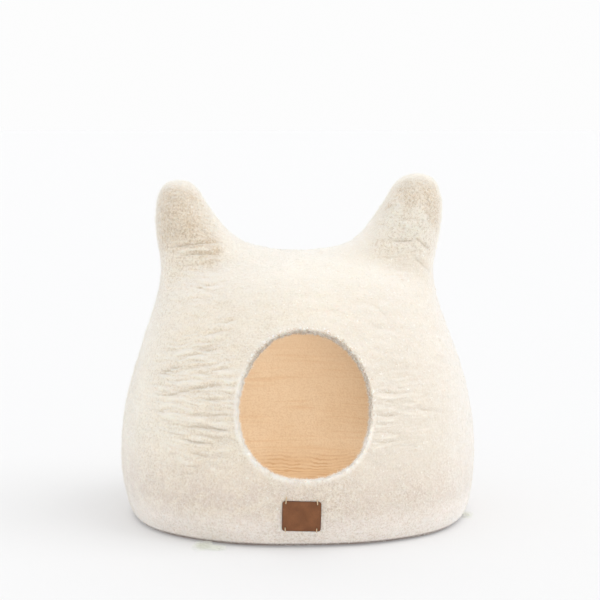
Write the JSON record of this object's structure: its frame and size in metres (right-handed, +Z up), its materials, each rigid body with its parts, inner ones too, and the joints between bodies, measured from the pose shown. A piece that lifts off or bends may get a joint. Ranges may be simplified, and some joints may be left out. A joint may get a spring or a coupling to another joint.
{
  "type": "felt cat cave",
  "caption": "Dome-shaped pet bed of thick wool felt with a flat base, an egg-shaped opening at the front, two rounded ears on top and a small leather patch.",
  "frame": {"origin": "on the floor, under the middle of the box around the part", "axes": "+Z up, +X to the right as seen from the front, and the opening faces -Y"},
  "size_m": [0.4481, 0.4221, 0.4302],
  "materials": {
    "felt": "matte, fuzzy cream wool felt",
    "leather": "satin brown leather"
  },
  "bodies": {
    "root": {"shell": "felt", "patch": "leather"}
  },
  "joints": []
}
